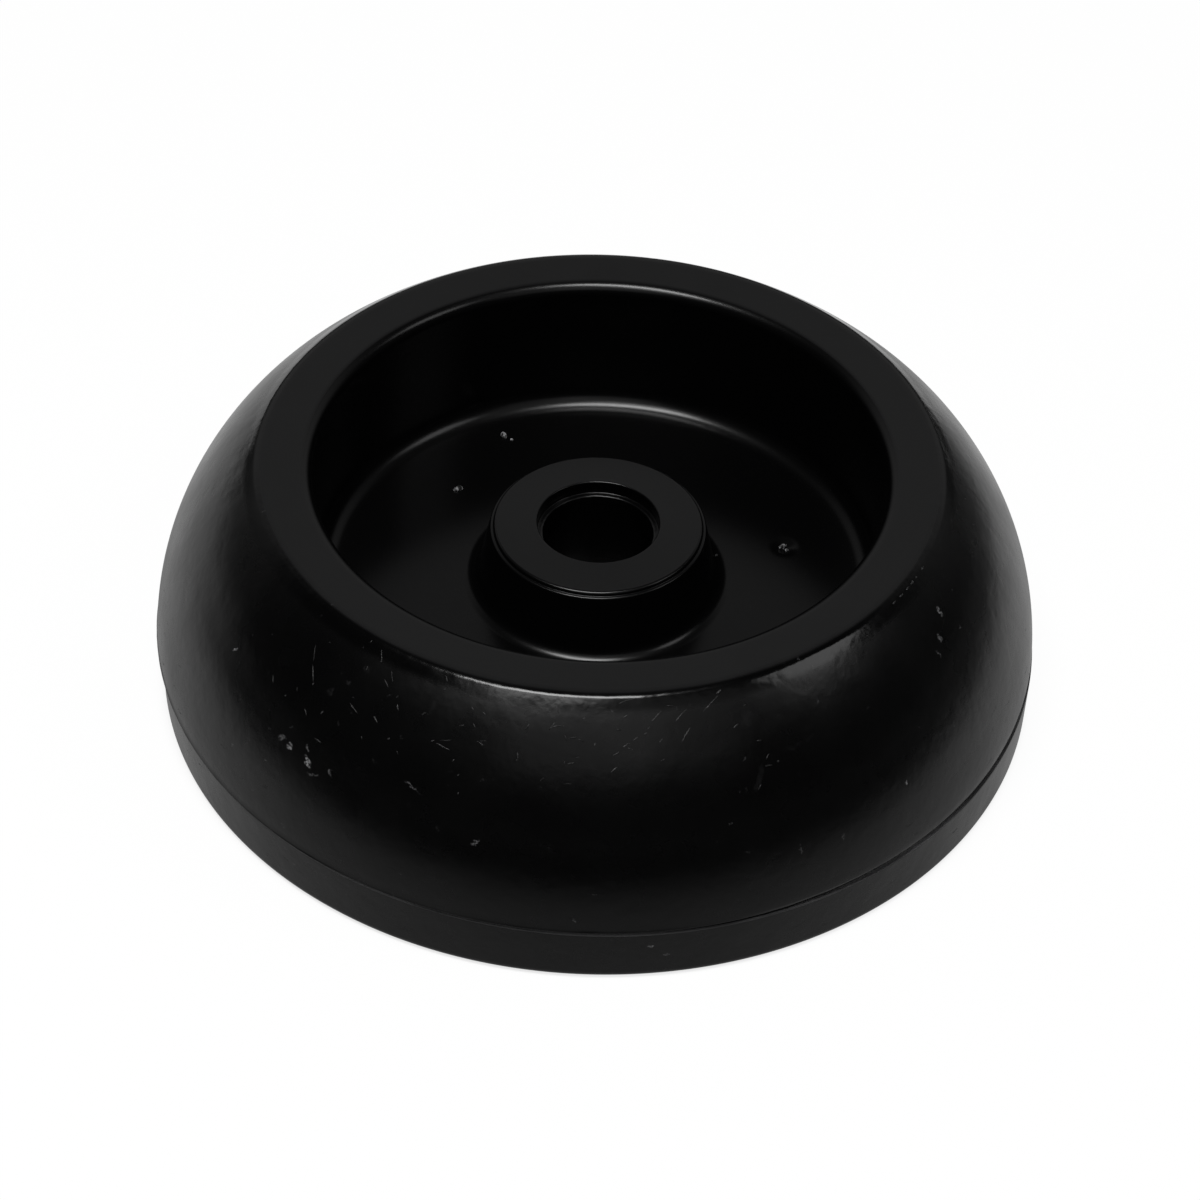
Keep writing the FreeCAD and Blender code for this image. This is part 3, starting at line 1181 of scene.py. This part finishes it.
    def build(self) -> bpy.types.Object:
        """Make the piece as a plain mesh object at the origin."""
        tree = self.tree(self.finish.build())
        return finished_piece(self.name, self.section_mesh(), tree, self.sizes())


@dataclass(frozen=True)
class TornMark:
    """One torn spot: its place and half sizes in millimetres, its turns in radians and how pale it is."""

    place: Triple
    half: Triple
    turns: Triple
    pale: float = 1.0


@dataclass
class TornMarks:
    """Torn spots of the plastic, one instance of a small ragged ball for each."""

    name: str
    finish: TornFinish
    marks: Sequence[TornMark]
    ball_detail: int = 3
    ragged: float = 0.5
    ragged_noise: Noise = Noise(1500.0)

    def points_mesh(self) -> bpy.types.Mesh:
        """Set one point for each spot.

        Returns:
            The points, with the spots' sizes, turns and paleness as attributes.
        """
        mesh = bpy.data.meshes.new(f"{self.name}_points")
        mesh.from_pydata([tuple(c * MM for c in mark.place) for mark in self.marks], [], [])
        layers = (
            ("nub_size", "FLOAT_VECTOR", "vector", [c * MM for mark in self.marks for c in mark.half]),
            ("nub_turn", "FLOAT_VECTOR", "vector", [c for mark in self.marks for c in mark.turns]),
            ("pale", "FLOAT", "value", [mark.pale for mark in self.marks]),
        )
        for label, kind, field, values in layers:
            mesh.attributes.new(label, kind, "POINT").data.foreach_set(field, values)
        return mesh

    def tree(self, material: bpy.types.Material) -> bpy.types.NodeTree:
        """Build the node tree that sets a ragged ball on every point.

        Args:
            material: finish of the torn spots.

        Returns:
            The tree, with named inputs for its sizes.
        """
        graph, size = tree_with_inputs("torn_nubs", {"Detail": "NodeSocketInt", "Ragged": "NodeSocketFloat"})
        named = {"data_type": "FLOAT_VECTOR"}
        scale = graph.node("GeometryNodeInputNamedAttribute", named, {"Name": "nub_size"})
        turn = graph.node("GeometryNodeInputNamedAttribute", named, {"Name": "nub_turn"})
        unit = {"Radius": 1.0, "Subdivisions": size["Detail"]}
        ball = graph.node("GeometryNodeMeshIcoSphere", {}, unit, "Mesh")
        spread = {"Points": size["Geometry"], "Instance": ball, "Rotation": turn, "Scale": scale}
        nubs = graph.node("GeometryNodeInstanceOnPoints", {}, spread)
        real = graph.node("GeometryNodeRealizeInstances", {}, {0: nubs})
        place = graph.node("GeometryNodeInputPosition", {}, {})
        offset = graph.scaled(self.ragged_noise.wander(graph, place), size["Ragged"])
        moved = graph.node("GeometryNodeSetPosition", {}, {"Geometry": real, "Offset": offset})
        smooth = graph.node("GeometryNodeSetShadeSmooth", {}, {0: moved})
        dressed = graph.node("GeometryNodeSetMaterial", {}, {"Geometry": smooth, "Material": material})
        return end_tree(graph, dressed)

    def build(self) -> bpy.types.Object:
        """Make the piece.

        Returns:
            A plain mesh object at the origin.
        """
        sizes = {"Detail": self.ball_detail, "Ragged": self.ragged * MM}
        tree = self.tree(self.finish.build())
        return finished_piece(self.name, self.points_mesh(), tree, sizes)


GATE_MARKS = (
    TornMark((-14.7, 31.2, 16.05), (0.45, 0.75, 0.5), (0.0, 0.0, 0.35)),
    TornMark((-13.5, 30.4, 16.0), (0.3, 0.2, 0.25), (0.0, 0.0, 0.0)),
    TornMark((-21.0, 18.4, 16.05), (0.8, 0.45, 0.5), (0.0, 0.0, 0.44)),
    TornMark((27.1, 7.9, 15.8), (0.65, 0.3, 0.45), (0.0, 0.0, 0.44)),
    TornMark((27.7, 7.4, 15.7), (0.35, 0.25, 0.3), (0.0, 0.0, -0.52)),
    TornMark((17.3, 4.13, 17.0), (0.3, 0.22, 0.25), (0.0, 0.0, 1.05)),
)


@dataclass(frozen=True)
class Scrape:
    """One scrape of the tread as the photograph shows it: ends and width in pixels, and how pale it is."""

    start: Point
    end: Point
    width: float
    pale: float


# Scrapes on the front of the tread, picked in the photograph of 1200 by 1200 pixels.
SCRAPES = (
    Scrape((431, 742), (434, 740), 1.5, 0.3), Scrape((436, 743), (449, 750), 1.6, 0.4),
    Scrape((440, 741), (451, 740), 1.0, 0.25), Scrape((477, 741), (484, 746), 1.6, 0.5),
    Scrape((480, 741), (486, 741), 1.0, 0.25), Scrape((459, 726), (464, 725), 1.0, 0.3),
    Scrape((473, 724), (475, 728), 1.0, 0.3), Scrape((483, 712), (485, 715), 1.5, 0.25),
    Scrape((472, 707), (473, 711), 1.0, 0.25), Scrape((553, 727), (564, 726), 1.5, 0.4),
    Scrape((549, 731), (554, 723), 1.4, 0.3), Scrape((525, 731), (529, 724), 1.5, 0.3),
    Scrape((557, 706), (558, 714), 1.3, 0.35), Scrape((565, 735), (567, 742), 1.3, 0.3),
    Scrape((569, 739), (577, 737), 1.5, 0.35), Scrape((578, 739), (584, 742), 1.0, 0.3),
    Scrape((517, 752), (518, 759), 1.2, 0.35), Scrape((514, 761), (518, 760), 1.4, 0.35),
    Scrape((594, 746), (596, 742), 1.5, 0.35), Scrape((564, 760), (565, 765), 1.0, 0.25),
    Scrape((567, 764), (574, 763), 1.5, 0.18), Scrape((613, 756), (619, 752), 1.3, 0.35),
    Scrape((623, 747), (630, 743), 1.3, 0.4), Scrape((628, 748), (633, 750), 1.2, 0.3),
    Scrape((611, 773), (617, 767), 1.4, 0.4), Scrape((575, 758), (580, 757), 1.2, 0.2),
    Scrape((563, 784), (571, 784), 1.0, 0.2), Scrape((540, 781), (544, 778), 1.4, 0.3),
    Scrape((457, 776), (459, 774), 1.6, 0.4), Scrape((452, 762), (454, 760), 1.5, 0.4),
    Scrape((457, 794), (459, 792), 1.5, 0.4), Scrape((583, 720), (585, 717), 1.6, 0.4),
    Scrape((617, 730), (621, 730), 1.4, 0.35), Scrape((623, 718), (628, 715), 1.3, 0.3),
    Scrape((652, 722), (661, 711), 1.4, 0.4), Scrape((646, 719), (651, 716), 1.3, 0.35),
    Scrape((676, 722), (686, 709), 1.4, 0.4), Scrape((682, 743), (690, 727), 2.2, 0.22),
    Scrape((704, 712), (717, 695), 1.3, 0.3), Scrape((717, 694), (721, 690), 2.2, 0.45),
    Scrape((620, 702), (632, 690), 1.2, 0.3), Scrape((644, 735), (647, 733), 1.5, 0.35),
    Scrape((648, 730), (650, 727), 1.4, 0.3), Scrape((633, 741), (638, 737), 1.2, 0.28),
    Scrape((660, 743), (662, 739), 1.4, 0.3), Scrape((661, 761), (665, 759), 1.5, 0.4),
    Scrape((734, 728), (738, 724), 1.5, 0.35), Scrape((766, 760), (769, 754), 1.7, 0.5),
    Scrape((744, 706), (746, 704), 1.6, 0.3), Scrape((667, 706), (672, 706), 1.2, 0.22),
    Scrape((757, 741), (762, 740), 1.2, 0.18), Scrape((777, 762), (779, 760), 1.8, 0.22),
    Scrape((762, 784), (758, 790), 1.5, 0.15), Scrape((765, 766), (773, 765), 1.4, 0.15),
    Scrape((316, 645), (313, 662), 1.2, 0.16), Scrape((313, 664), (313, 683), 1.2, 0.18),
    Scrape((312, 686), (314, 683), 1.5, 0.35), Scrape((382, 650), (381, 663), 1.5, 0.4),
    Scrape((366, 670), (368, 666), 1.4, 0.3), Scrape((370, 642), (372, 640), 1.5, 0.5),
    Scrape((392, 671), (392, 682), 1.0, 0.2), Scrape((385, 680), (388, 687), 1.3, 0.3),
    Scrape((273, 675), (273, 683), 1.3, 0.2), Scrape((321, 714), (323, 711), 1.8, 0.8),
    Scrape((284, 697), (286, 695), 1.4, 0.5), Scrape((297, 687), (297, 691), 1.1, 0.3),
    Scrape((305, 708), (306, 716), 1.2, 0.2), Scrape((350, 703), (357, 714), 1.4, 0.16),
    Scrape((374, 716), (377, 723), 1.5, 0.25), Scrape((396, 698), (398, 696), 1.6, 0.3),
    Scrape((397, 704), (398, 711), 1.5, 0.45), Scrape((421, 715), (426, 713), 2.0, 0.3),
    Scrape((387, 739), (390, 738), 1.8, 0.2), Scrape((361, 736), (362, 740), 1.0, 0.2),
    Scrape((397, 751), (398, 755), 1.2, 0.28), Scrape((315, 738), (321, 743), 1.6, 0.25),
    Scrape((446, 675), (447, 682), 1.3, 0.35), Scrape((443, 691), (446, 689), 1.4, 0.25),
    Scrape((906, 573), (908, 571), 2.2, 0.35), Scrape((900, 578), (903, 575), 2.2, 0.35),
    Scrape((894, 583), (897, 580), 2.0, 0.35), Scrape((888, 590), (891, 587), 2.0, 0.35),
    Scrape((883, 597), (885, 594), 2.0, 0.3), Scrape((920, 567), (922, 564), 2.0, 0.45),
)


@dataclass(frozen=True)
class TreadBurrs:
    """The burrs that scrapes have raised, laid on the tread where the photograph shows them.

    A burr has a least half length, a half thickness and a highest place under the rim's rounding, all in
    millimetres. It is narrower and duller than the scrape looks, because its torn edge catches the light.
    """

    section: Section
    layout: TreadLayout
    viewpoint: Viewpoint
    least_half: float = 0.14
    thick: float = 0.08
    highest: float = 37.6
    width_share: float = 0.8
    pale_share: float = 0.6

    def scuff(self, scrape: Scrape) -> Scuff:
        """Find the spot on the tread that a scrape covers.

        Args:
            scrape: the scrape in the photograph.

        Returns:
            The spot on the tread.
        """
        eye = self.viewpoint.eye() / MM
        pixels = (scrape.start, scrape.end)
        first, last = (self.layout.seen_at(eye, self.viewpoint.sight(pixel)) for pixel in pixels)
        along = Vector(self.layout.spot(*last)) - Vector(self.layout.spot(*first))
        long = max(along.length / 2, self.least_half)
        wide = self.width_share * scrape.width * self.viewpoint.pixel_size() / 2
        turn, height = ((a + b) / 2 for a, b in zip(first, last))
        tilt = math.degrees(math.atan2(along.y, along.x))
        height = min(height, self.highest)
        return Scuff(turn, height, (long, wide), tilt, self.pale_share * scrape.pale)

    def mark(self, scuff: Scuff) -> TornMark:
        """Lay a spot on the rounded tread as a small burr.

        Args:
            scuff: where it is, how long, wide and pale.

        Returns:
            The torn spot, square to the tread.
        """
        centre = self.section.crown_centre()
        steep = math.asin((scuff.height - centre.y) / self.section.crown_radius)
        turn, tilt = math.radians(scuff.turn), math.radians(scuff.tilt)
        r = centre.x + self.section.crown_radius * math.cos(steep)
        level = Vector((math.sin(turn), -math.cos(turn), 0.0))
        outward = level * math.cos(steep) + Vector((0.0, 0.0, math.sin(steep)))
        around = Vector((math.cos(turn), math.sin(turn), 0.0))
        upward = outward.cross(around)
        along = around * math.cos(tilt) + upward * math.sin(tilt)
        turned = Matrix((along, outward.cross(along), outward)).transposed().to_euler()
        place = (r * level.x, r * level.y, scuff.height)
        return TornMark(place, (*scuff.half, self.thick), tuple(turned), scuff.level)

    def marks(self, scrapes: Sequence[Scrape]) -> list[TornMark]:
        """Turn all the scrapes into torn spots."""
        return [self.mark(self.scuff(scrape)) for scrape in scrapes]


@dataclass(frozen=True)
class Lamp:
    """One soft box that faces the wheel: its place and size in metres, its brightness and its long side."""

    name: str
    place: Triple
    size: Point
    radiance: float
    along: LongSide = LongSide.ACROSS

    def build(self) -> bpy.types.Object:
        """Hang the lamp.

        Returns:
            The lamp, unseen by the camera.
        """
        data = bpy.data.lights.new(self.name, "AREA")
        data.shape = "RECTANGLE"
        data.size, data.size_y = self.size
        data.energy = self.radiance * math.pi * self.size[0] * self.size[1]
        lamp = bpy.data.objects.new(self.name, data)
        face = Vector(self.place).normalized()
        side = Vector(self.along.value)
        side = (side - face * face.dot(side)).normalized()
        turned = Matrix((side, face.cross(side), face)).transposed().to_4x4()
        lamp.matrix_world = Matrix.Translation(self.place) @ turned
        lamp.visible_camera = False
        bpy.context.collection.objects.link(lamp)
        return lamp


@dataclass
class Studio:
    """White floor, dark room, soft boxes and a pale sweep behind the wheel, all in metres, with a sheet of
    painted shade that the wheel's gloss mirrors.

    The sweep comes in over spans of the directions to the back and up.
    """

    floor_half: float = 6.0
    floor_white: float = 0.94
    floor_mottle: float = 0.02
    floor_noise: Noise = Noise(240.0, 3.0)
    floor_glow: float = 0.95
    footprint: Span = (0.058, 0.0645)
    room: float = 0.02
    sweep: float = 0.37
    sweep_back: Span = (0.1, 0.8)
    sweep_foot: Span = (0.0, 0.45)
    sweep_top: Span = (0.6, 0.85)
    # Painted shade seen in reflections: the sheet is black beyond the table's edge, partly black over the
    # table and darker near the wheel's foot as a painted contact shadow.
    table_middle: Point = (-0.005, 0.103)
    table_edge: Span = (0.14, 0.235)
    table_level: float = 0.8
    clear_back: Span = (0.04, 0.1)
    clear_left: Span = (-0.02, 0.05)
    foot_shade: float = 0.3
    foot_reach: Span = (0.066, 0.1)
    surround_half: float = 1.5
    surround_z: float = 0.0005
    painted_shade_colour: Colour = (0.01, 0.01, 0.01)
    lamps: tuple[Lamp, ...] = (
        Lamp("overhead_soft_box", (-0.12, -0.265, 1.15), (0.6, 0.28), 22.0),
        Lamp("overhead_spill", (-0.2, -0.55, 1.1), (0.45, 0.14), 4.5),
        Lamp("overhead_diffuser", (-0.22, -0.5, 1.1), (0.64, 0.4), 0.9),
        Lamp("front_diffuser", (-0.03, -0.9, 0.8), (0.7, 0.5), 0.5),
        Lamp("right_soft_box", (0.86, -0.15, 0.93), (0.45, 0.36), 3.0, LongSide.AWAY),
        Lamp("right_fill", (0.4, -0.75, 0.85), (0.6, 0.6), 0.3),
    )

    def floor_finish(self) -> bpy.types.Material:
        """Make the floor's white, which shines evenly towards the camera and in reflections.

        Returns:
            A material that keeps part of the wheel's shadow.
        """
        material, graph = blank_material("white_floor")
        place = graph.node("ShaderNodeTexCoord", {}, {}, "Object")
        paper = self.floor_white + self.floor_mottle * (self.floor_noise.level(graph, place) - 0.5)
        lit = graph.node("ShaderNodeBsdfDiffuse", {}, {"Color": paper})
        glow = graph.node("ShaderNodeEmission", {}, {"Color": (1.0, 1.0, 1.0, 1.0), "Strength": 1.0})
        seen = graph.node("ShaderNodeLightPath", {}, {}, "Is Camera Ray")
        rays = seen.socket.node.outputs
        seen = seen + Wire(graph, rays["Is Glossy Ray"]) + Wire(graph, rays["Is Transmission Ray"])
        x, y, _ = graph.split(place)
        share = seen.math("MINIMUM", 1.0) * x.hypot(y).rise(*self.footprint) * self.floor_glow
        graph.finish(graph.node("ShaderNodeMixShader", {}, {"Fac": share, 1: lit, 2: glow}))
        return material

    def painted_shade_finish(self) -> bpy.types.Material:
        """Make the finish of the sheet of painted shade, which only reflections see.

        Returns:
            A material that paints shade: mostly clear over the lit table, darker near the wheel's foot as a
                painted contact shadow, and black beyond the table's edge.
        """
        material, graph = blank_material("painted_room_shade")
        x, y, _ = graph.split(graph.node("ShaderNodeTexCoord", {}, {}, "Object"))
        aside, away = x - self.table_middle[0], y - self.table_middle[1]
        beyond = aside.hypot(away).rise(*self.table_edge)
        beyond = beyond * (1 - y.rise(*self.clear_back) * x.fall(*self.clear_left))
        # Painted contact shadow around the wheel's foot, seen in reflections only.
        near = x.hypot(y).fall(*self.foot_reach, self.foot_shade)
        beyond = 1 - (1 - beyond) * (self.table_level - near)
        clear = graph.node("ShaderNodeBsdfTransparent", {}, {})
        black = graph.node("ShaderNodeBsdfDiffuse", {}, {"Color": (*self.painted_shade_colour, 1.0)})
        graph.finish(graph.node("ShaderNodeMixShader", {}, {"Fac": beyond, 1: clear, 2: black}))
        return material

    def sheet(self, name: str, half: float, height: float, material: bpy.types.Material) -> bpy.types.Object:
        """Lay a level square as part of the studio.

        Args:
            name: its name.
            half: half of its side.
            height: its height above the floor.
            material: its finish.

        Returns:
            The square.
        """
        corners = [(-half, -half), (half, -half), (half, half), (-half, half)]
        mesh = bpy.data.meshes.new(name)
        mesh.from_pydata([(x, y, height) for x, y in corners], [], [(0, 1, 2, 3)])
        mesh.materials.append(material)
        piece = bpy.data.objects.new(name, mesh)
        bpy.context.collection.objects.link(piece)
        return piece

    def floor(self) -> bpy.types.Object:
        """Lay the white floor, which keeps the wheel's shadow."""
        return self.sheet("floor", self.floor_half, 0.0, self.floor_finish())

    def painted_shade_sheet(self) -> bpy.types.Object:
        """Lay a sheet of painted shade for the wheel's gloss to mirror: the dark room beyond the lit table
        and the shade around the wheel's foot.

        Returns:
            A sheet just above the floor, seen in reflections only.
        """
        surround = self.sheet("painted_shade_sheet", self.surround_half, self.surround_z, self.painted_shade_finish())
        surround.visible_camera = False
        surround.visible_diffuse = False
        surround.visible_shadow = False
        return surround

    def light(self) -> None:
        """Hang the lamps and set the room's dim light with the pale sweep at the back."""
        world = bpy.data.worlds.new("studio")
        bpy.context.scene.world = world
        world.use_nodes = True
        graph = Graph(world.node_tree)
        _, back, up = graph.split(graph.node("ShaderNodeTexCoord", {}, {}, "Generated"))
        sweep = self.sweep * back.rise(*self.sweep_back) * up.rise(*self.sweep_foot)
        level = self.room + sweep * (1 - up.rise(*self.sweep_top))
        ground = world.node_tree.nodes["Background"]
        world.node_tree.links.new(level.socket, ground.inputs["Color"])
        for lamp in self.lamps:
            lamp.build()


def main() -> None:
    """Build the studio and the wheel, and report each piece."""
    logging.basicConfig(level=logging.INFO, format="%(name)s: %(message)s")
    scene = bpy.context.scene
    scene.view_settings.view_transform = "Standard"
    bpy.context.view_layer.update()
    viewpoint = Viewpoint()
    viewpoint.build()
    studio = Studio()
    studio.floor()
    studio.painted_shade_sheet()
    studio.light()
    section = Section()
    wear = TreadWear(section)
    wheel = WheelMoulding(section, PlasticFinish(wear)).build()
    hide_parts(NODE)
    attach(wheel, BODY)
    LOG.info("%s: %d faces", wheel.name, len(wheel.data.polygons))
    torn = TornFinish()
    burrs = TreadBurrs(section, wear.layout, viewpoint).marks(SCRAPES)
    gate = TornMarks("gate_marks", torn, GATE_MARKS)
    tread = TornMarks("tread_burrs", torn, burrs, ball_detail=2, ragged=0.36)
    for marks in (gate, tread):
        nubs = marks.build()
        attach(nubs, BODY)
        LOG.info("%s: %d faces", nubs.name, len(nubs.data.polygons))


if __name__ == "__main__":
    main()
